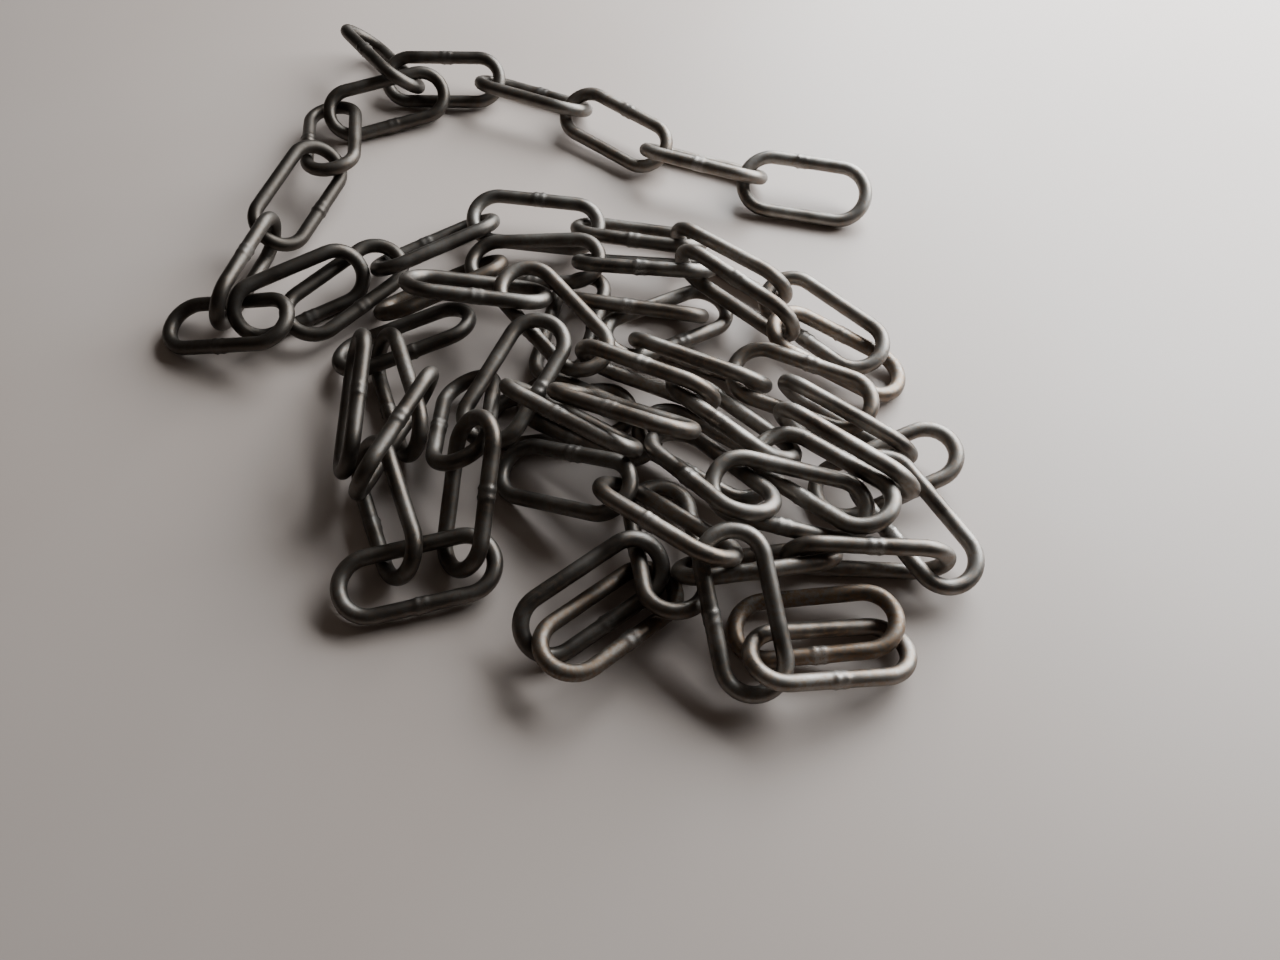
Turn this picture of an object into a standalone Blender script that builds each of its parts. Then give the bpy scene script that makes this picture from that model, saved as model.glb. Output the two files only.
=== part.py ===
"""A loose length of welded steel chain, thrown down in a heap with its tail laid round the far side.

Every link is its own closed solid.  The plan below says where each link lies, as read off the photograph
on a floor grid.  The links are then fitted to one another: neighbours are threaded, every other pair is
parted, and each link comes down until it rests on the floor or on the links beneath it.
"""
import math

import bmesh
import bpy
import numpy as np

# One link, in metres.
WIRE = 0.004
LINK_LENGTH = 0.041
LINK_WIDTH = 0.0185
END_LINK_WIDTH = 0.0205
CLEARANCE = 0.0004
SMALLEST_BEND = 0.55
BEND_STEPS = 6
WIRE_SIDES = 8

# The bar's corners lie this far from its middle line, so that its section is as large as a round bar's.
BAR_REACH = WIRE / 2 * math.sqrt(2 * math.pi / (WIRE_SIDES * math.sin(2 * math.pi / WIRE_SIDES)))

# The plan is drawn on a square grid, and one link is this many squares long.
SQUARES_PER_LINK = 42
GRID = LINK_LENGTH / SQUARES_PER_LINK

# The plan is read off a picture taken from this height, straight above the corner of the grid.
EYE_HEIGHT = 236 * GRID

# The links that can't be seen are one plain core under the middle of the heap, drawn on the same grid.
CORE_OUTLINE = ((-40, 177), (-28, 183), (4, 178), (33, 166), (36, 152), (24, 148))
CORE_HEIGHT = 0.008
CORE_TOP_SHARE = 0.8
CORE_STEPS = 12

# This link is fitted with the others, so that its room stays free, but it isn't built: a build holds
# sixty pieces, and one of them is the core.
NOT_BUILT = "loose_02"

# How the links are fitted.
THREADING_ROUNDS = 120
LOWERING_ROUNDS = 240
CLEARING_ROUNDS = 400
TURNING_ARM = 0.3 * LINK_LENGTH
FLOOR_GAP = 0.05 * CLEARANCE
HOMING = 0.1
DROP = 0.025 * WIRE
FIRMNESS = 0.12
LONGEST_HOMING = 0.03 * WIRE
LONGEST_PULL = 0.2 * WIRE
LONGEST_PUSH = 0.12 * WIRE
PUSH_GAIN = 1.3

STEEL_COLOUR = (0.085, 0.075, 0.068, 1.0)
STEEL_ROUGHNESS = 0.38

# Each run lists threaded links in order.  A row holds the name, where the middle of the link is seen
# against the floor grid (x to the right, y away), how high it lies, the heading of its long axis, how far
# the far end is raised, and how far the link is rolled about its long axis.  Angles are in degrees.
RUNS = (
    (
        ("end_link", 53, 265, 6, -11, 0, 30),
        ("tail_02", 22, 275, 7, -15, 0, -40),
        ("tail_03", -7, 293, 7, -33, -4, 22),
        ("tail_04", -37, 313, 6, -20, 0, -35),
        ("tail_05", -70, 321, 6, -2, 0, 30),
        ("tail_06", -91, 332, 9, 119, 12, 50),
        ("tail_07", -85, 307, 5, 18, 2, 30),
        ("tail_08", -102, 291, 7, 100, 10, 20),
        ("tail_09", -108, 261, 6, 57, 8, 25),
        ("tail_10", -116, 229, 11, 79, 14, -76),
        ("tail_11", -118, 205, 4, -5, 4, 8),
        ("tail_12", -99, 222, 6, 39, 3, 25),
        ("tail_13", -88, 220, 4, 40, 2, 20),
        ("tail_14", -63, 240, 9, 36, 0, -35),
        ("tail_15", -34, 252, 7, -3, -2, 0),
        ("tail_16", 0, 244, 8, -9, -1, -30),
        ("tail_17", 29, 232, 9, -37, -3, -60),
        ("fold_01", 55, 205, 7, -44, 6, 10),
        ("fold_02", 57, 195, 8, -16, -10, -6),
        ("back_01", 33, 218, 16, -41, 3, -58),
        ("back_02", 1, 229, 11, -8, -2, -48),
        ("back_03", -33, 234, 8, 1, 0, 0),
        ("back_04", -60, 223, 8, 36, 2, -30),
    ),
    (
        ("left_01", -68, 204, 10, 23, 4, -15),
        ("left_02", -67, 183, 13, 110, 4, -60),
        ("left_03", -65, 170, 13, 67, -3, -74),
        ("left_04", -66, 146, 9, 115, 7, -52),
        ("left_05", -55, 127, 4, 15, 2, 8),
        ("left_06", -44, 151, 14, 80, 21, -40),
        ("left_07", -49, 175, 12, 92, -15, -20),
        ("left_08", -34, 189, 19, 64, -8, 3),
        ("left_09", -18, 175, 14, -35, -3, -56),
    ),
    (
        ("top_01", -49, 222, 14, -2, 4, -28),
        ("top_02", -24, 212, 13, -49, -4, -5),
        ("top_03", 1, 190, 14, -27, 1, -60),
        ("top_04", 25, 173, 16, -33, 6, -55),
        ("top_05", 50, 155, 20, -42, 5, 3),
        ("top_06", 39, 150, 18, -7, 2, 3),
        ("top_07", 19, 158, 17, -48, 12, -20),
    ),
    (
        ("right_01", -16, 207, 8, 90, -5, -20),
        ("right_02", -1, 213, 9, -11, 6, -29),
        ("right_03", 5, 208, 6, 28, -4, -8),
        ("right_04", 18, 194, 9, -16, 1, -38),
        ("right_05", 46, 187, 17, -33, 0, 8),
        ("right_06", 53, 173, 11, -49, 6, -62),
        ("right_07", 65, 155, 7, 20, -10, 5),
    ),
    (
        ("rim_01", 54, 164, 15, -37, -6, -56),
        ("rim_02", 68, 142, 9, -44, -7, 3),
        ("rim_03", 58, 132, 9, 9, 0, -48),
        ("rim_04", 28, 128, 8, 14, 0, -36),
        ("rim_05", 6, 136, 6, 90, -4, 0),
        ("rim_06", -11, 118, 5, 32, 6, 14),
        ("rim_07", -8, 115, 5, 42, -9, 2),
    ),
    (
        ("near_01", -21, 156, 5, -20, 8, 12),
        ("near_02", 7, 141, 13, -36, 6, -48),
        ("near_03", 26, 118, 11, 94, 10, -12),
        ("near_04", 45, 106, 6, 6, -5, -9),
        ("near_05", 42, 113, 5, 3, 6, 0),
    ),
    (("loose_01", -5, 176, 19, -32, 0, -57),),
    (("loose_02", -77, 181, 13, 97, 8, -70),),
)


def clear_scene():
    for thing in list(bpy.data.objects):
        bpy.data.objects.remove(thing, do_unlink=True)
    for mesh in list(bpy.data.meshes):
        bpy.data.meshes.remove(mesh)
    for material in list(bpy.data.materials):
        bpy.data.materials.remove(material)


def link_outline(width):
    """The middle line of one link's bar, as corner points in the link's own plane."""
    bend = max((width - WIRE) / 2, SMALLEST_BEND * WIRE)
    half_straight = max((LINK_LENGTH - WIRE) / 2 - bend, 0.1 * LINK_LENGTH)
    corners = []
    for side in (1, -1):
        for step in range(BEND_STEPS + 1):
            angle = math.pi * (step / BEND_STEPS - 0.5)
            x = side * (half_straight + bend * math.cos(angle))
            y = side * bend * math.sin(angle)
            corners.append((x, y, 0.0))
    return np.array(corners)


def turned(heading, tilt, roll):
    """The link's long, wide and thin directions as the columns of a matrix."""
    heading = math.radians(heading)
    tilt = math.radians(tilt)
    roll = math.radians(roll)
    along = np.array((math.cos(heading) * math.cos(tilt), math.sin(heading) * math.cos(tilt), math.sin(tilt)))
    level = np.array((-math.sin(heading), math.cos(heading), 0.0))
    upright = np.cross(along, level)
    wide = level * math.cos(roll) + upright * math.sin(roll)
    thin = np.cross(along, wide)
    return np.stack((along, wide, thin), axis=1)


def core_outlines():
    """The core's outline on the floor and the smaller one on top of it."""
    on_floor = np.array(CORE_OUTLINE, dtype=float) * GRID
    middle = on_floor.mean(axis=0)
    on_top = middle + (on_floor - middle) * CORE_TOP_SHARE
    low = np.column_stack((on_floor, np.zeros(len(on_floor))))
    high = np.column_stack((on_top, np.full(len(on_top), CORE_HEIGHT)))
    return low, high


def core_planes():
    """The core's top and sides, as outward directions and how far out each of them lies."""
    low, high = core_outlines()
    along = np.roll(low, -1, axis=0) - low
    directions = np.cross(high - low, along)
    directions = directions / np.linalg.norm(directions, axis=1)[:, None]
    reach = (directions * low).sum(axis=1)
    return np.vstack((directions, (0.0, 0.0, 1.0))), np.append(reach, CORE_HEIGHT)


def small_turns(vectors):
    """Rotation matrices for a stack of small turning vectors."""
    angle = np.linalg.norm(vectors, axis=1)
    axis = vectors / np.maximum(angle, 1e-12)[:, None]
    cross = np.zeros((len(vectors), 3, 3))
    cross[:, 0, 1] = -axis[:, 2]
    cross[:, 0, 2] = axis[:, 1]
    cross[:, 1, 0] = axis[:, 2]
    cross[:, 1, 2] = -axis[:, 0]
    cross[:, 2, 0] = -axis[:, 1]
    cross[:, 2, 1] = axis[:, 0]
    sine = np.sin(angle)[:, None, None]
    versine = (1 - np.cos(angle))[:, None, None]
    return np.eye(3) + sine * cross + versine * (cross @ cross)


def eased(moves, largest):
    """A small share of each move, and no more than the largest one allowed."""
    length = np.linalg.norm(moves, axis=1)[:, None]
    return moves * np.minimum(HOMING, largest / np.maximum(length, 1e-12))


class Heap:
    """Where every link is, and the ways that links are moved to fit one another."""

    def __init__(self):
        rows = [row for run in RUNS for row in run]
        self.names = [row[0] for row in rows]
        self.count = len(rows)
        self.seen = np.array([row[1:3] for row in rows], dtype=float) * GRID
        self.height = np.array([row[3] for row in rows], dtype=float) * GRID
        self.middle = np.column_stack((self.on_sight_line(self.height), self.height))
        self.turn = np.array([turned(*row[4:7]) for row in rows])
        self.home_turn = self.turn.copy()
        self.outline = np.array([link_outline(END_LINK_WIDTH if row is rows[0] else LINK_WIDTH) for row in rows])
        self.threaded = np.zeros((self.count, self.count), dtype=bool)
        first = 0
        for run in RUNS:
            for step in range(len(run) - 1):
                self.threaded[first + step, first + step + 1] = True
            first += len(run)
        self.apart = WIRE + CLEARANCE
        self.core_directions, self.core_reach = core_planes()
        self.near_pairs()

    def on_sight_line(self, height):
        """Where links lie on the plan when they are at these heights and look as they do in the picture."""
        return self.seen * (1 - height / EYE_HEIGHT)[:, None]

    def points(self):
        return self.middle[:, None] + np.einsum("nij,nkj->nki", self.turn, self.outline)

    def near_pairs(self):
        """Pairs of links that are close enough to touch."""
        i, j = np.triu_indices(self.count, 1)
        reach = LINK_LENGTH + 2 * WIRE
        near = np.linalg.norm(self.middle[i] - self.middle[j], axis=1) < reach
        self.pairs = (i[near], j[near])

    def crossings(self):
        """How many times each near pair is threaded through one another."""
        line = self.points()
        i, j = self.pairs
        start = line[i][:, :, None]
        stop = np.roll(line, -1, axis=1)[i][:, :, None]
        other_start = line[j][:, None, :]
        other_stop = np.roll(line, -1, axis=1)[j][:, None, :]
        corner_a = other_start - start
        corner_b = other_stop - start
        corner_c = other_stop - stop
        corner_d = other_start - stop
        faces = []
        for one, two in ((corner_a, corner_b), (corner_b, corner_c), (corner_c, corner_d), (corner_d, corner_a)):
            normal = np.cross(one, two)
            faces.append(normal / np.maximum(np.linalg.norm(normal, axis=-1, keepdims=True), 1e-15))
        total = 0
        for step in range(4):
            cosine = (faces[step] * faces[(step + 1) % 4]).sum(-1)
            total = total + np.arcsin(np.clip(cosine, -1, 1))
        sense = np.sign((np.cross(other_stop - other_start, stop - start) * corner_a).sum(-1))
        turns = (total * sense).sum(axis=(1, 2)) / (4 * math.pi)
        return np.rint(turns).astype(int)

    def contacts(self, wanted):
        """The places where two links of the wanted pairs come closer than they may."""
        line = self.points()
        step = np.roll(line, -1, axis=1) - line
        i = self.pairs[0][wanted]
        j = self.pairs[1][wanted]
        away = line[i][:, :, None] - line[j][:, None, :]
        one = step[i]
        two = step[j]
        a = (one * one).sum(-1)[:, :, None]
        e = (two * two).sum(-1)[:, None, :]
        b = np.einsum("pik,pjk->pij", one, two)
        c = np.einsum("pik,pijk->pij", one, away)
        f = np.einsum("pjk,pijk->pij", two, away)
        s = np.clip((b * f - c * e) / (a * e - b * b + 1e-18), 0, 1)
        t = np.clip((b * s + f) / e, 0, 1)
        s = np.clip((b * t - c) / a, 0, 1)
        squared = (away * away).sum(-1) + s * s * a + t * t * e + 2 * s * c - 2 * t * f - 2 * s * t * b
        pair, m, n = np.nonzero(squared < self.apart * self.apart)
        first = i[pair]
        second = j[pair]
        on_first = line[first, m] + s[pair, m, n][:, None] * step[first, m]
        on_second = line[second, n] + t[pair, m, n][:, None] * step[second, n]
        return first, second, on_first, on_second

    def push(self, first, second, on_first, on_second, amount, direction):
        """Moves both links of each pair so that the two points part by the amount."""
        arm_first = np.cross(on_first - self.middle[first], direction)
        arm_second = np.cross(on_second - self.middle[second], direction)
        squared_arm = TURNING_ARM * TURNING_ARM
        ease = 2 + ((arm_first ** 2).sum(1) + (arm_second ** 2).sum(1)) / squared_arm
        share = (amount / ease)[:, None]
        np.add.at(self.shift, first, share * direction)
        np.add.at(self.shift, second, -share * direction)
        np.add.at(self.spin, first, share * arm_first / squared_arm)
        np.add.at(self.spin, second, -share * arm_second / squared_arm)
        np.add.at(self.tally, first, 1)
        np.add.at(self.tally, second, 1)

    def push_out(self, link, spot, depth, direction):
        """Moves links so that these spots on them come out of something that stays where it is."""
        arm = np.cross(spot - self.middle[link], direction)
        squared_arm = TURNING_ARM * TURNING_ARM
        ease = 1 + (arm ** 2).sum(1) / squared_arm
        share = (depth / ease)[:, None]
        np.add.at(self.shift, link, share * direction)
        np.add.at(self.spin, link, share * arm / squared_arm)
        np.add.at(self.tally, link, 1)

    def push_off_floor_and_core(self):
        """Lifts links out of the floor, and moves them off the core."""
        line = self.points()
        depth = BAR_REACH + FLOOR_GAP - line[:, :, 2]
        link, corner = np.nonzero(depth > 0)
        up = np.tile((0.0, 0.0, 1.0), (len(link), 1))
        self.push_out(link, line[link, corner], depth[link, corner], up)
        step = np.roll(line, -1, axis=1) - line
        spots = np.concatenate([line + share * step for share in np.arange(CORE_STEPS) / CORE_STEPS], axis=1)
        outside = spots @ self.core_directions.T - self.core_reach
        depth = BAR_REACH + CLEARANCE - outside.max(axis=2)
        nearest = outside.argmax(axis=2)
        link, spot = np.nonzero(depth > 0)
        direction = self.core_directions[nearest[link, spot]]
        self.push_out(link, spots[link, spot], depth[link, spot], direction)

    def start_round(self):
        self.shift = np.zeros((self.count, 3))
        self.spin = np.zeros((self.count, 3))
        self.tally = np.zeros(self.count)

    def finish_round(self, gain, largest):
        """Applies the gathered moves, each link by no more than the largest step."""
        share = gain / np.maximum(self.tally, 1)[:, None]
        move = self.shift * share
        spin = self.spin * share
        length = np.linalg.norm(move, axis=1) + np.linalg.norm(spin, axis=1) * LINK_LENGTH / 2
        limit = np.minimum(1, largest / np.maximum(length, 1e-12))[:, None]
        self.middle += move * limit
        self.turn = small_turns(spin * limit) @ self.turn

    def part(self, wanted):
        """Parts the wanted pairs a little and returns the deepest overlap."""
        self.start_round()
        first, second, on_first, on_second = self.contacts(wanted)
        deepest = 0.0
        if len(first):
            between = on_first - on_second
            gap = np.linalg.norm(between, axis=1)
            direction = between / np.maximum(gap, 1e-9)[:, None]
            self.push(first, second, on_first, on_second, self.apart - gap, direction)
            deepest = float((self.apart - gap).max())
        self.push_off_floor_and_core()
        self.finish_round(PUSH_GAIN, LONGEST_PUSH)
        return deepest

    def thread(self):
        """Brings neighbours through one another and lifts other links off one another."""
        for number in range(THREADING_ROUNDS):
            if number % 4 == 0:
                self.near_pairs()
                turns = self.crossings()
                is_threaded = self.threaded[self.pairs]
                missing = np.nonzero(is_threaded & (turns == 0))[0]
                caught = np.nonzero(~is_threaded & (turns != 0))[0]
                good = np.ones(len(turns), dtype=bool)
                good[missing] = False
                good[caught] = False
                if number > 0 and not len(missing) and not len(caught):
                    break
            self.start_round()
            for pair in missing:
                self.draw_together(self.pairs[0][pair], self.pairs[1][pair])
            for pair in caught:
                self.lift_off(self.pairs[0][pair], self.pairs[1][pair])
            self.finish_round(1.0, LONGEST_PULL)
            self.part(good)

    def draw_together(self, one, two):
        """Pulls the near end of each link into the eye of the other."""
        for link, other in ((one, two), (two, one)):
            along = self.turn[link][:, 0]
            end = 1 if along @ (self.middle[other] - self.middle[link]) > 0 else -1
            apex = self.middle[link] + end * along * self.outline[link][:, 0].max()
            other_along = self.turn[other][:, 0]
            other_end = 1 if other_along @ (self.middle[link] - self.middle[other]) > 0 else -1
            reach = self.outline[other][:, 0].max() - self.outline[other][:, 1].max()
            eye = self.middle[other] + other_end * other_along * reach
            gap = np.linalg.norm(eye - apex)
            direction = (eye - apex) / max(gap, 1e-9)
            self.push(
                np.array([link]), np.array([other]), apex[None], eye[None], np.array([0.3 * gap]), direction[None]
            )

    def lift_off(self, one, two):
        """Lifts the upper link and lowers the lower one."""
        upper, lower = (one, two) if self.height[one] >= self.height[two] else (two, one)
        self.shift[upper, 2] += 0.15 * WIRE
        self.shift[lower, 2] -= 0.05 * WIRE
        self.tally[upper] += 1
        self.tally[lower] += 1

    def turns_home(self):
        """The small turns that would bring each link back to how it lies on the plan."""
        back = self.home_turn @ self.turn.transpose(0, 2, 1)
        return 0.5 * np.stack(
            (back[:, 2, 1] - back[:, 1, 2], back[:, 0, 2] - back[:, 2, 0], back[:, 1, 0] - back[:, 0, 1]), axis=1
        )

    def lower(self):
        """Lets every link down onto what lies beneath it, and draws it back over its place on the plan."""
        for number in range(LOWERING_ROUNDS):
            if number % 5 == 0:
                self.near_pairs()
            fade = 1 - number / LOWERING_ROUNDS
            self.middle[:, 2] -= DROP * fade
            home = np.column_stack((self.on_sight_line(self.middle[:, 2]), self.height))
            self.middle += fade * eased(home - self.middle, LONGEST_HOMING)
            self.turn = small_turns(fade * eased(self.turns_home(), FIRMNESS * WIRE / LINK_LENGTH)) @ self.turn
            everything = np.ones(len(self.pairs[0]), dtype=bool)
            self.part(everything)
            self.part(everything)

    def clear(self):
        """Parts the links until every gap is open."""
        for number in range(CLEARING_ROUNDS):
            if number % 5 == 0:
                self.near_pairs()
            deepest = self.part(np.ones(len(self.pairs[0]), dtype=bool))
            if deepest < 0.02 * CLEARANCE:
                break


def bar_mesh(name, outline, middle, turn):
    """One link: a bar of even thickness bent round its outline and closed on itself."""
    corners = len(outline)
    shape = bmesh.new()
    rings = []
    for index in range(corners):
        before = outline[index] - outline[index - 1]
        after = outline[(index + 1) % corners] - outline[index]
        before = before / np.linalg.norm(before)
        after = after / np.linalg.norm(after)
        forward = (before + after) / np.linalg.norm(before + after)
        outward = np.array((forward[1], -forward[0], 0.0)) / float(forward @ after)
        ring = []
        for side in range(WIRE_SIDES):
            angle = 2 * math.pi * (side + 0.5) / WIRE_SIDES
            spot = outline[index] + BAR_REACH * (math.cos(angle) * outward + math.sin(angle) * np.array((0, 0, 1)))
            ring.append(shape.verts.new(middle + turn @ spot))
        rings.append(ring)
    for index in range(corners):
        ring = rings[index]
        after = rings[(index + 1) % corners]
        for side in range(WIRE_SIDES):
            turned_side = (side + 1) % WIRE_SIDES
            face = shape.faces.new((ring[side], ring[turned_side], after[turned_side], after[side]))
            face.smooth = True
    bmesh.ops.recalc_face_normals(shape, faces=shape.faces)
    mesh = bpy.data.meshes.new(name)
    shape.to_mesh(mesh)
    shape.free()
    return mesh


def core_mesh(name):
    """The plain core, with flat sides that lean inward."""
    low, high = core_outlines()
    shape = bmesh.new()
    floor_ring = [shape.verts.new(spot) for spot in low]
    top_ring = [shape.verts.new(spot) for spot in high]
    shape.faces.new(floor_ring)
    shape.faces.new(top_ring)
    for index in range(len(low)):
        after = (index + 1) % len(low)
        shape.faces.new((floor_ring[index], floor_ring[after], top_ring[after], top_ring[index]))
    bmesh.ops.recalc_face_normals(shape, faces=shape.faces)
    mesh = bpy.data.meshes.new(name)
    shape.to_mesh(mesh)
    shape.free()
    return mesh


def add_part(name, mesh, place, material):
    mesh.materials.append(material)
    thing = bpy.data.objects.new(name, mesh)
    thing.location = place
    bpy.context.scene.collection.objects.link(thing)


def steel():
    material = bpy.data.materials.new("bare_steel")
    material.use_nodes = True
    shader = material.node_tree.nodes["Principled BSDF"]
    shader.inputs["Base Color"].default_value = STEEL_COLOUR
    shader.inputs["Metallic"].default_value = 1.0
    shader.inputs["Roughness"].default_value = STEEL_ROUGHNESS
    return material


def build():
    clear_scene()
    heap = Heap()
    heap.thread()
    heap.lower()
    heap.thread()
    heap.clear()
    line = heap.points()
    highest = line[:, :, :2].max(axis=(0, 1))
    lowest = line[:, :, :2].min(axis=(0, 1))
    place = (-(highest[0] + lowest[0]) / 2, -(highest[1] + lowest[1]) / 2, 0.0)
    material = steel()
    add_part("hidden_links", core_mesh("hidden_links"), place, material)
    for index, name in enumerate(heap.names):
        if name != NOT_BUILT:
            mesh = bar_mesh(name, heap.outline[index], heap.middle[index], heap.turn[index])
            add_part(name, mesh, place, material)


build()
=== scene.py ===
"""Looks for the heap of steel chain: round bars with welds, dark bare steel, a pale floor and soft light."""
import math

import bpy
import numpy as np
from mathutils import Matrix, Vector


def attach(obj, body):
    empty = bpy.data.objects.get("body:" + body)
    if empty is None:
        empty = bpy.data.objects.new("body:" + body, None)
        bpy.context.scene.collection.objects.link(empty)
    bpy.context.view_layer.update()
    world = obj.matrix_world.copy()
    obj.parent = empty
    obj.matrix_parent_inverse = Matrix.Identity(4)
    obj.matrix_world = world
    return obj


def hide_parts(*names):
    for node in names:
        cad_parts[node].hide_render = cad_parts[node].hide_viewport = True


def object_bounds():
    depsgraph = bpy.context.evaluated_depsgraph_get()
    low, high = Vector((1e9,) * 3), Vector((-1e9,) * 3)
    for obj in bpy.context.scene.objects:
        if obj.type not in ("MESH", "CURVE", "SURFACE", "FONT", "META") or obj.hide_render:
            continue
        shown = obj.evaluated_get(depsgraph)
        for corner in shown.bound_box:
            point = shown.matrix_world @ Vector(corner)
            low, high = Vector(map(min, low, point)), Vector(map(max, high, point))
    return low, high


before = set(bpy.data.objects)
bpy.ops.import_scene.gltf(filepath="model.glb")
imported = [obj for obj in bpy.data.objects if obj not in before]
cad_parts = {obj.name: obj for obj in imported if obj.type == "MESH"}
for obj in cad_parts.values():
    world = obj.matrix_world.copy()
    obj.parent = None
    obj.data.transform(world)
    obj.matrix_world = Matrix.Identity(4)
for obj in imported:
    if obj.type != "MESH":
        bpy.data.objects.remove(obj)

CAD_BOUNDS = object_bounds()

# The frame is in metres.
MM = 0.001

# One link's bar: its sizes, the sides of its section, and the steps in one bend and one straight.  A point
# is on a straight where it has nearly all of the bend's distance from the link's middle line.
BAR_RADIUS = 2.0 * MM
LINK_LENGTH = 41.0 * MM
LINK_WIDTH = 18.5 * MM
END_LINK_WIDTH = 20.5 * MM
BAR_SIDES = 24
BEND_STEPS = 22
STRAIGHT_STEPS = 44
NEARLY_ALL = 0.999

# No link is quite even.  Its straights bow by up to BOW, its ends twist by up to LEAN, and its bar gets
# thicker and thinner by WAVE_SHARE in each WAVE_LENGTH.
BOW = 0.12 * MM
LEAN = 0.15 * MM
WAVE_SHARE = 0.003
WAVE_LENGTH = 9 * MM

# A weld is a low swelling between two ridges.  It rises by these shares of WELD_RISE, and the ridges vary
# within a range.  Lumps go round it: each row holds how many, and how high for the weld's own height.
WELD_LENGTH = 1.3 * MM
WELD_RISE = 0.26 * MM
SWELLING_SHARE = 0.45
RIDGE_SHARE = 0.75
RIDGE_PLACE = 0.9 * WELD_LENGTH
RIDGE_LENGTH = 0.35 * WELD_LENGTH
RIDGE_AHEAD = (0.4, 1.1)
RIDGE_BEHIND = (0.7, 1.2)
RIDGE_BRIGHT = 0.8
LUMPS = ((3, 0.40), (5, 0.25))

# Painted shade: the steel is painted darker from right to left, where less of the window's light falls.
# Where that starts, over how far, and by how much.
PAINTED_SHADE_FROM = 60 * MM
PAINTED_SHADE_OVER = 130 * MM
PAINTED_SHADE_MOST = 0.85

# How much darker or rustier than its row says a link can be, on top of the painted shade that its place
# gives.
TONE_SPREAD = 0.25
RUST_SPREAD = 0.3
SEED = 11

# Links with something of their own.  A row holds the side that the weld is on (1 is the far side of the
# link, -1 the near side), how far the weld is from the middle in mm, how bright it is, and how rusty the
# link is.
OWN_LOOKS = {
    "end_link": (1, -2.0, 0.3, 0.0),
    "tail_02": (-1, 0.5, 0.9, 0.1),
    "tail_03": (1, 0.0, 0.5, 0.1),
    "tail_04": (1, 0.0, 0.8, 0.1),
    "tail_05": (1, 1.0, 0.5, 0.1),
    "tail_14": (1, -1.0, 0.6, 0.1),
    "tail_15": (1, 0.0, 0.6, 0.1),
    "tail_17": (1, 0.0, 0.7, 0.1),
    "back_02": (-1, 0.5, 1.0, 0.1),
    "back_04": (-1, 0.0, 0.2, 0.9),
    "fold_02": (1, 0.0, 0.2, 0.5),
    "right_02": (-1, -1.0, 0.9, 0.2),
    "right_04": (1, 1.0, 0.9, 0.2),
    "right_05": (1, 0.0, 0.5, 0.4),
    "right_06": (1, 0.5, 1.0, 0.1),
    "rim_01": (1, 0.0, 0.9, 0.1),
    "rim_02": (-1, 0.0, 0.9, 0.1),
    "rim_03": (-1, 0.5, 1.0, 0.2),
    "rim_07": (-1, 0.0, 0.9, 0.8),
    "near_01": (1, 0.0, 0.9, 0.2),
    "near_05": (-1, 0.0, 0.9, 1.0),
}
USUAL_LOOK = (-1, 0.0, 0.5, 0.2)

# Links without a solid of their own.  A row holds the middle in mm, then the heading, tilt and roll in
# degrees.  The steep link leans on the left of the heap.  The hidden ones lie where the plain core is.
STEEP_LINK = ("loose_02", -46.9, -43.2, 13.6, 90, 11, -65)
HIDDEN_LINKS = (
    ("hidden_01", 41.9, -52.0, 4.0, -34, 0, 0),
    ("hidden_02", 12.7, -43.9, 7.6, -30, 2, 2),
    ("hidden_03", 4.6, -39.4, 2.6, 6, 1, 2),
)

# The steel's colours: dark scale (which the painted shade also darkens towards), plain steel, brown tint,
# rust, and bright drawn lines and welds.
DARK = (0.046, 0.039, 0.033, 1.0)
PLAIN = (0.375, 0.358, 0.334, 1.0)
BROWN = (0.290, 0.202, 0.146, 1.0)
ORANGE = (0.300, 0.198, 0.125, 1.0)
SILVER = (0.58, 0.56, 0.54, 1.0)

# The steel's patterns.  A row holds the scale, the detail and the roughness of the noise.  The drawn lines
# are noise that is stretched along the bar.
BROAD = (90.0, 3.0, 0.5)
FINE = (900.0, 4.0, 0.65)
SPECKS = (2600.0, 2.0, 0.5)
LINES = (3.0, 4.0, 0.6)
LINE_STRETCH = (60.0, 2.5, 1.0)

# What a pattern gives.  A row holds the low and the high value of the pattern, then what each of them gives.
PLAIN_RANGE = (0.35, 0.65, 0.25, 1.0)
BROWN_RANGE = (0.50, 0.72, 0.0, 0.6)
LINE_RANGE = (0.55, 0.80, 0.0, 0.35)
RUST_RANGE = (0.38, 0.62, 0.15, 0.85)
WELD_RANGE = (0.30, 0.55, 0.1, 0.5)
ROUGH_RANGE = (0.30, 0.70, 0.40, 0.52)
# How far the painted shade and the random tone together mix the colour towards the dark scale.
SHADE_AND_TONE_SHARE = 0.86
RUST_ROUGHER = 0.12
LINE_DEPTH = 0.5
BUMP_STRENGTH = 0.25
BUMP_DEPTH = 0.08 * MM

# The floor: how far it goes from the middle, how far it lies under the heap, and its faint clouds.
FLOOR_REACH = 1.6
FLOOR_DROP = 0.05 * MM
FLOOR_CLOUDS = (9.0, 3.0, 0.5)
FLOOR_COLOURS = ((0.50, 0.415, 0.365, 1.0), (0.57, 0.500, 0.460, 1.0))
FLOOR_ROUGHNESS = 0.42

# The lights.  A row holds the name, the place, the point that it shines at, the width and height, the
# watts and the colour.
LIGHTS = (
    ("window", (0.37, 0.33, 0.26), (0.04, 0.0, 0.0), (0.70, 0.42), 13.0, (0.92, 0.970, 1.0)),
    ("fill", (-0.5, 0.2, 0.9), (0.0, 0.0, 0.0), (0.9, 0.9), 0.25, (1.0, 0.86, 0.74)),
)
ROOM_COLOUR = (1.0, 0.86, 0.75, 1.0)
ROOM_STRENGTH = 0.04

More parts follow.
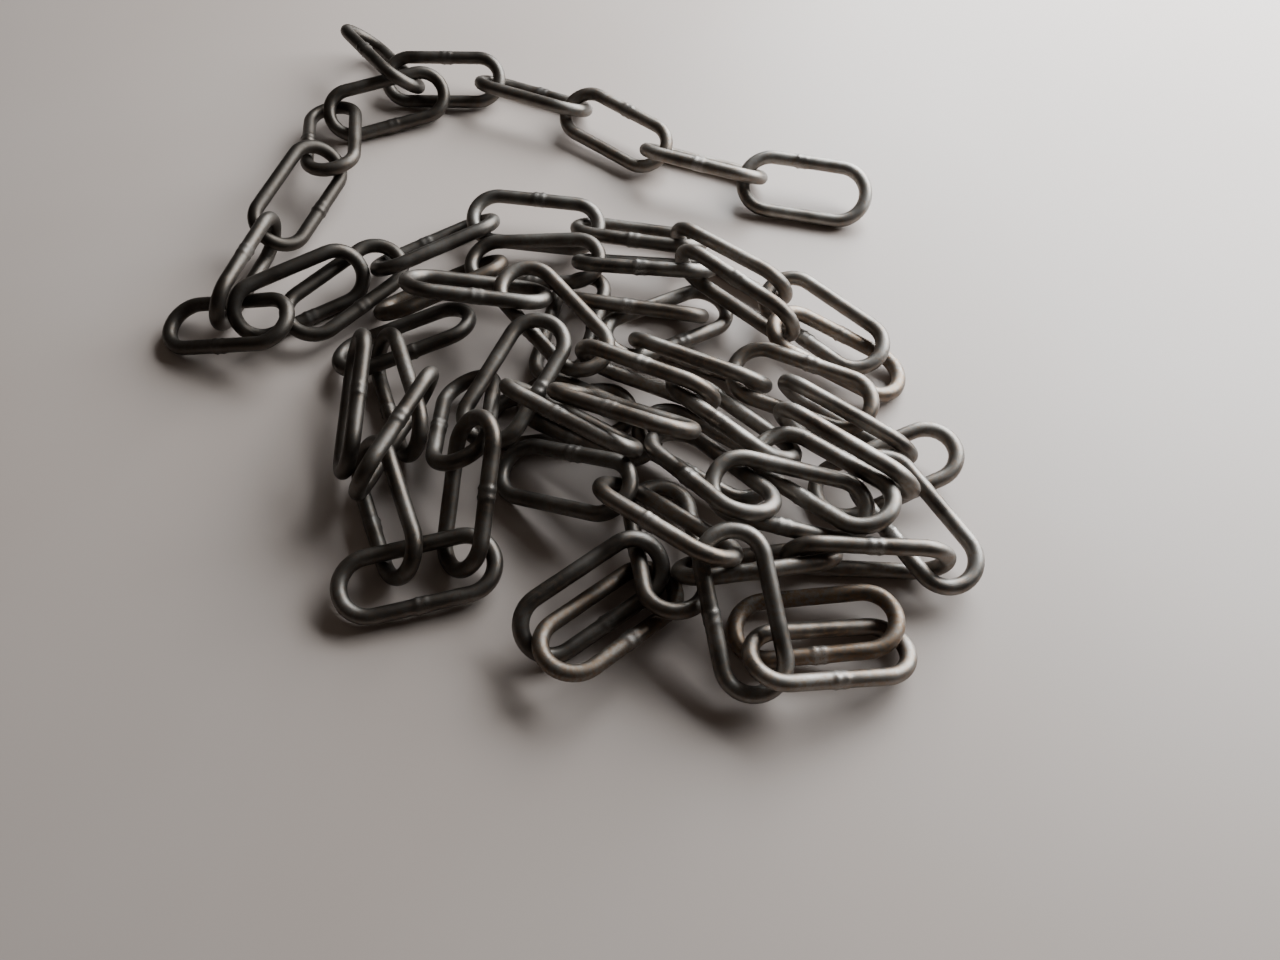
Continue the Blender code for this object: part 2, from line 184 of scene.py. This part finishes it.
# The camera stands over the corner of the grid that the heap was planned on, and looks along the grid.
SQUARES_A_LINK = 42
SQUARE = LINK_LENGTH / SQUARES_A_LINK
GRID_CORNER = (26.17 * SQUARE, -214.02 * SQUARE)
EYE_HEIGHT = 236 * SQUARE
EYE_PITCH = 56.7
FOCAL_PIXELS = 1080.0
IMAGE_WIDTH = 1280.0
SENSOR_WIDTH = 36.0
NEAREST_SEEN = 5 * MM

# New nodes of a material stand in rows.  A mix node has its two colours and its result at these places.
NODES_A_ROW = 8
NODE_GAP = 220
MIX_COLOURS = (6, 7)
MIX_RESULT = 2


def bend_radius(width):
    """The radius of the middle line in the bends of a link of this width."""
    return width / 2 - BAR_RADIUS


def link_line(width):
    """The middle line of a link's bar in its own plane, with how far along it each point is."""
    bend = bend_radius(width)
    half = LINK_LENGTH / 2 - BAR_RADIUS - bend
    spots = []
    for side in (1, -1):
        for step in range(STRAIGHT_STEPS):
            share = step / STRAIGHT_STEPS
            spots.append((side * half * (2 * share - 1), -side * bend))
        for step in range(BEND_STEPS):
            angle = math.pi * (step / BEND_STEPS - 0.5)
            spots.append((side * (half + bend * math.cos(angle)), side * bend * math.sin(angle)))
    line = np.array(spots)
    gaps = np.linalg.norm(np.roll(line, -1, axis=0) - line, axis=1)
    return line, np.concatenate(((0.0,), np.cumsum(gaps)))


def packed_link(name):
    """The middle of a packed link and its long, wide and thin directions, thin pointing up."""
    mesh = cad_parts[name].data
    spots = np.empty(3 * len(mesh.vertices))
    mesh.vertices.foreach_get("co", spots)
    spots = spots.reshape(-1, 3)
    middle = (spots.max(axis=0) + spots.min(axis=0)) / 2
    axes = np.linalg.svd(spots - spots.mean(axis=0), full_matrices=False)[2]
    along = axes[0] * (1 if axes[0][0] > 0 else -1)
    thin = axes[2] * (1 if axes[2][2] > 0 else -1)
    wide = np.cross(thin, along)
    return middle, np.stack((along, wide, thin), axis=1)


def turned(heading, tilt, roll):
    """The long, wide and thin directions of a link from its heading, tilt and roll in degrees."""
    heading, tilt, roll = (math.radians(angle) for angle in (heading, tilt, roll))
    level = math.cos(tilt)
    along = np.array((math.cos(heading) * level, math.sin(heading) * level, math.sin(tilt)))
    flat = np.array((-math.sin(heading), math.cos(heading), 0.0))
    wide = flat * math.cos(roll) + np.cross(along, flat) * math.sin(roll)
    return np.stack((along, wide, np.cross(along, wide)), axis=1)


def unit(vectors):
    """The same vectors with a length of 1."""
    return vectors / np.linalg.norm(vectors, axis=1)[:, None]


def hump(distance, length):
    """A smooth rise: 1 at no distance, and next to nothing from twice the length on."""
    return np.exp(-(distance / length) ** 2)


def bar_shape(width, look, random):
    """A link's bar before it is turned: its points ring by ring, and at each ring its reach and its weld."""
    side, offset, bright = look[:3]
    line, reach = link_line(width)
    straight = np.abs(line[:, 1]) > NEARLY_ALL * bend_radius(width)
    bow = random.uniform(-BOW, BOW)
    lean = random.uniform(-LEAN, LEAN)
    turn = math.pi * line[:, 0] / LINK_LENGTH
    line[:, 1] += np.sign(line[:, 1]) * bow * np.cos(turn)
    centre = np.column_stack((line, lean * np.sin(turn)))

    ahead = unit(np.roll(centre, -1, axis=0) - np.roll(centre, 1, axis=0))
    outward = unit(np.column_stack((ahead[:, 1], -ahead[:, 0], np.zeros(len(line)))))
    up = np.cross(ahead, outward)

    from_weld = line[:, 0] - offset * MM
    on_side = straight & (line[:, 1] * side > 0)
    swelling = np.where(on_side, hump(from_weld, WELD_LENGTH), 0.0)
    ridges = np.where(on_side, hump(np.abs(from_weld) - RIDGE_PLACE, RIDGE_LENGTH), 0.0)
    ridges *= np.where(from_weld > 0, random.uniform(*RIDGE_AHEAD), random.uniform(*RIDGE_BEHIND))

    angles = 2 * math.pi * np.arange(BAR_SIDES) / BAR_SIDES
    phase = random.uniform(0, 2 * math.pi, 3)
    lumps = np.ones(BAR_SIDES)
    for (number, height), start in zip(LUMPS, phase):
        lumps += height * np.sin(number * angles + start)
    waves = WAVE_SHARE * np.sin(2 * math.pi * reach[:-1] / WAVE_LENGTH + phase[2])
    collar = WELD_RISE * np.outer(SWELLING_SHARE * swelling + RIDGE_SHARE * ridges, lumps)
    radius = BAR_RADIUS * (1 + waves[:, None]) + collar
    ring = np.cos(angles)[:, None] * outward[:, None] + np.sin(angles)[:, None] * up[:, None]
    spots = centre[:, None] + radius[:, :, None] * ring
    return spots.reshape(-1, 3), reach, bright * np.clip(swelling + RIDGE_BRIGHT * ridges, 0, 1)


def bar_faces(rings):
    """The outward faces between each ring of points and the next, and between the last and the first."""
    index = np.arange(rings * BAR_SIDES).reshape(rings, BAR_SIDES)
    after = np.roll(index, -1, axis=0)
    corners = (index, np.roll(index, -1, axis=1), np.roll(after, -1, axis=1), after)
    return np.stack(corners, axis=-1).reshape(-1, 4)


def add_bar_map(mesh, reach):
    """A flat map of the bar, round it and along it, in link lengths, so that the drawn lines follow it."""
    facet = 2 * math.pi * BAR_RADIUS / BAR_SIDES
    corners = np.empty((len(reach) - 1, BAR_SIDES, 4, 2))
    corners[..., 0] = facet * (np.arange(BAR_SIDES)[:, None] + np.array((0, 1, 1, 0)))
    corners[..., 1] = np.stack((reach[:-1], reach[:-1], reach[1:], reach[1:]), axis=1)[:, None]
    layer = mesh.uv_layers.new(name="bar")
    layer.data.foreach_set("uv", (corners.reshape(-1) / LINK_LENGTH).astype(np.float32))


def link_mesh(name, middle, turn, width, look, random):
    """One link as a closed round bar with its weld, each point in the frame."""
    spots, reach, weld = bar_shape(width, look, random)
    spots = np.clip(middle + spots @ turn.T, CAD_BOUNDS[0], CAD_BOUNDS[1])
    mesh = bpy.data.meshes.new(name)
    mesh.from_pydata(spots.tolist(), [], bar_faces(len(weld)).tolist())
    mesh.shade_smooth()
    add_bar_map(mesh, reach)
    rust = look[3]
    # Painted shade: a link is painted darker the further left it lies, as if less of the window's light
    # reached it.
    shade_and_tone = PAINTED_SHADE_MOST * min(max((PAINTED_SHADE_FROM - middle[0]) / PAINTED_SHADE_OVER, 0.0), 1.0)
    values = {
        "weld": np.repeat(weld, BAR_SIDES),
        "rust": np.full(len(spots), rust + random.uniform(0, RUST_SPREAD)),
        # The painted shade and a random darker tone of the link's own go into one value.
        "shade_and_tone": np.full(len(spots), shade_and_tone + random.uniform(0, TONE_SPREAD)),
    }
    for key, numbers in values.items():
        attribute = mesh.attributes.new(key, "FLOAT", "POINT")
        attribute.data.foreach_set("value", numbers.astype(np.float32))
    return mesh


def node(tree, kind, **values):
    """A new node of a material, with these settings."""
    made = tree.nodes.new(kind)
    row, column = divmod(len(tree.nodes), NODES_A_ROW)
    made.location = (NODE_GAP * (column - NODES_A_ROW), -NODE_GAP * row)
    for key, value in values.items():
        setattr(made, key, value)
    return made


def noise(tree, vector, pattern):
    """Noise from 0 to 1 at a place on the surface."""
    made = node(tree, "ShaderNodeTexNoise")
    for key, value in zip(("Scale", "Detail", "Roughness"), pattern):
        made.inputs[key].default_value = value
    tree.links.new(vector, made.inputs["Vector"])
    return made.outputs["Fac"]


def remap(tree, value, limits):
    """A pattern's value carried over from one range to another, and held within it."""
    made = node(tree, "ShaderNodeMapRange", clamp=True)
    for key, limit in zip(("From Min", "From Max", "To Min", "To Max"), limits):
        made.inputs[key].default_value = limit
    tree.links.new(value, made.inputs["Value"])
    return made.outputs["Result"]


def mixed(tree, share, one, two):
    """A colour between two colours; each may be a fixed colour or an output."""
    made = node(tree, "ShaderNodeMix", data_type="RGBA")
    tree.links.new(share, made.inputs["Factor"])
    for place, colour in zip(MIX_COLOURS, (one, two)):
        if isinstance(colour, tuple):
            made.inputs[place].default_value = colour
        else:
            tree.links.new(colour, made.inputs[place])
    return made.outputs[MIX_RESULT]


def maths(tree, operation, one, two):
    """The sum or the product of two values; each may be a number or an output."""
    made = node(tree, "ShaderNodeMath", operation=operation)
    for socket, value in zip(made.inputs, (one, two)):
        if isinstance(value, float):
            socket.default_value = value
        else:
            tree.links.new(value, socket)
    return made.outputs["Value"]


def new_material(name):
    """A new material with its nodes and the shader that its surface has."""
    material = bpy.data.materials.new(name)
    material.use_nodes = True
    return material, material.node_tree, material.node_tree.nodes["Principled BSDF"]


def steel():
    """Bare drawn steel: dark scale with a brown tint, fine lines along the bar, rust, bright welds, and
    painted shade that darkens the links on the left.
    """
    material, tree, shader = new_material("bare_steel")
    place = node(tree, "ShaderNodeTexCoord").outputs["Object"]
    bar = node(tree, "ShaderNodeUVMap", uv_map="bar").outputs["UV"]
    weld = node(tree, "ShaderNodeAttribute", attribute_name="weld").outputs["Fac"]
    rust = node(tree, "ShaderNodeAttribute", attribute_name="rust").outputs["Fac"]
    # The painted shade of the link's place, together with its random tone.
    shade_and_tone = node(tree, "ShaderNodeAttribute", attribute_name="shade_and_tone").outputs["Fac"]

    stretch = node(tree, "ShaderNodeMapping")
    stretch.inputs["Scale"].default_value = LINE_STRETCH
    tree.links.new(bar, stretch.inputs["Vector"])
    lines = noise(tree, stretch.outputs["Vector"], LINES)
    broad = noise(tree, place, BROAD)
    fine = noise(tree, place, FINE)
    specks = noise(tree, place, SPECKS)

    rust_share = maths(tree, "MULTIPLY", remap(tree, fine, RUST_RANGE), rust)
    weld_share = maths(tree, "MULTIPLY", remap(tree, specks, WELD_RANGE), weld)
    colour = mixed(tree, remap(tree, broad, PLAIN_RANGE), DARK, PLAIN)
    colour = mixed(tree, remap(tree, fine, BROWN_RANGE), colour, BROWN)
    colour = mixed(tree, remap(tree, lines, LINE_RANGE), colour, SILVER)
    colour = mixed(tree, rust_share, colour, ORANGE)
    colour = mixed(tree, weld_share, colour, SILVER)
    # Painted shade with each link's random tone: the colour is mixed towards the dark scale.
    colour = mixed(tree, maths(tree, "MULTIPLY", shade_and_tone, SHADE_AND_TONE_SHARE), colour, DARK)
    tree.links.new(colour, shader.inputs["Base Color"])

    rough = remap(tree, broad, ROUGH_RANGE)
    rough = maths(tree, "ADD", rough, maths(tree, "MULTIPLY", rust_share, RUST_ROUGHER))
    tree.links.new(rough, shader.inputs["Roughness"])
    shader.inputs["Metallic"].default_value = 1.0

    height = maths(tree, "ADD", maths(tree, "MULTIPLY", lines, LINE_DEPTH), fine)
    bump = node(tree, "ShaderNodeBump")
    bump.inputs["Strength"].default_value = BUMP_STRENGTH
    bump.inputs["Distance"].default_value = BUMP_DEPTH
    tree.links.new(height, bump.inputs["Height"])
    tree.links.new(bump.outputs["Normal"], shader.inputs["Normal"])
    return material


def add_link(name, middle, turn, width, look, material, random, stands_for=None):
    """One link as a piece of the heap, in place of the solid that it stands for."""
    mesh = link_mesh(name, middle, turn, width, look, random)
    mesh.materials.append(material)
    piece = bpy.data.objects.new(name, mesh)
    bpy.context.scene.collection.objects.link(piece)
    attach(piece, "root")
    if stands_for:
        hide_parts(stands_for)


def dress():
    """Every link of the heap: those with a solid, then the steep one and the hidden ones."""
    random = np.random.RandomState(SEED)
    material = steel()
    for name in sorted(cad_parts):
        if name == "hidden_links":
            continue
        middle, turn = packed_link(name)
        width = END_LINK_WIDTH if name == "end_link" else LINK_WIDTH
        look = OWN_LOOKS.get(name, USUAL_LOOK)
        add_link(name + "_bar", middle, turn, width, look, material, random, name)
    for row in (STEEP_LINK,) + HIDDEN_LINKS:
        name = row[0] + "_bar"
        middle = np.array(row[1:4]) * MM
        turn = turned(*row[4:])
        stands_for = None if row is STEEP_LINK else "hidden_links"
        add_link(name, middle, turn, LINK_WIDTH, USUAL_LOOK, material, random, stands_for)


def floor():
    """A pale floor a hair's breadth under the heap."""
    mesh = bpy.data.meshes.new("floor")
    corners = [(x * FLOOR_REACH, y * FLOOR_REACH, 0) for x, y in ((-1, -1), (1, -1), (1, 1), (-1, 1))]
    mesh.from_pydata(corners, [], [(0, 1, 2, 3)])
    material, tree, shader = new_material("pale_floor")
    place = node(tree, "ShaderNodeTexCoord").outputs["Object"]
    colour = mixed(tree, noise(tree, place, FLOOR_CLOUDS), *FLOOR_COLOURS)
    tree.links.new(colour, shader.inputs["Base Color"])
    shader.inputs["Roughness"].default_value = FLOOR_ROUGHNESS
    mesh.materials.append(material)
    plane = bpy.data.objects.new("floor", mesh)
    plane.location = (0.0, 0.0, CAD_BOUNDS[0][2] - FLOOR_DROP)
    bpy.context.scene.collection.objects.link(plane)


def area_light(name, place, aim, size, watts, colour):
    """One flat light with soft edges, turned to shine at a point."""
    light = bpy.data.lights.new(name, "AREA")
    light.shape = "RECTANGLE"
    light.size = size[0]
    light.size_y = size[1]
    light.energy = watts
    light.color = colour
    lamp = bpy.data.objects.new(name, light)
    lamp.location = place
    away = np.array(place) - np.array(aim)
    flat = math.hypot(away[0], away[1])
    lamp.rotation_euler = (math.atan2(flat, away[2]), 0.0, math.atan2(away[0], -away[1]))
    bpy.context.scene.collection.objects.link(lamp)


def room():
    """The dim warm light that comes from all sides."""
    world = bpy.data.worlds.new("studio")
    world.use_nodes = True
    background = world.node_tree.nodes["Background"]
    background.inputs["Color"].default_value = ROOM_COLOUR
    background.inputs["Strength"].default_value = ROOM_STRENGTH
    bpy.context.scene.world = world


def camera():
    """The camera at the photograph's height, angle and focal length."""
    data = bpy.data.cameras.new("camera")
    data.sensor_width = SENSOR_WIDTH
    data.lens = FOCAL_PIXELS / IMAGE_WIDTH * SENSOR_WIDTH
    data.clip_start = NEAREST_SEEN
    eye = bpy.data.objects.new("camera", data)
    eye.location = (GRID_CORNER[0], GRID_CORNER[1], EYE_HEIGHT)
    eye.rotation_euler = (math.radians(90 - EYE_PITCH), 0.0, 0.0)
    bpy.context.scene.collection.objects.link(eye)
    bpy.context.scene.camera = eye


dress()
floor()
for row in LIGHTS:
    area_light(*row)
room()
camera()
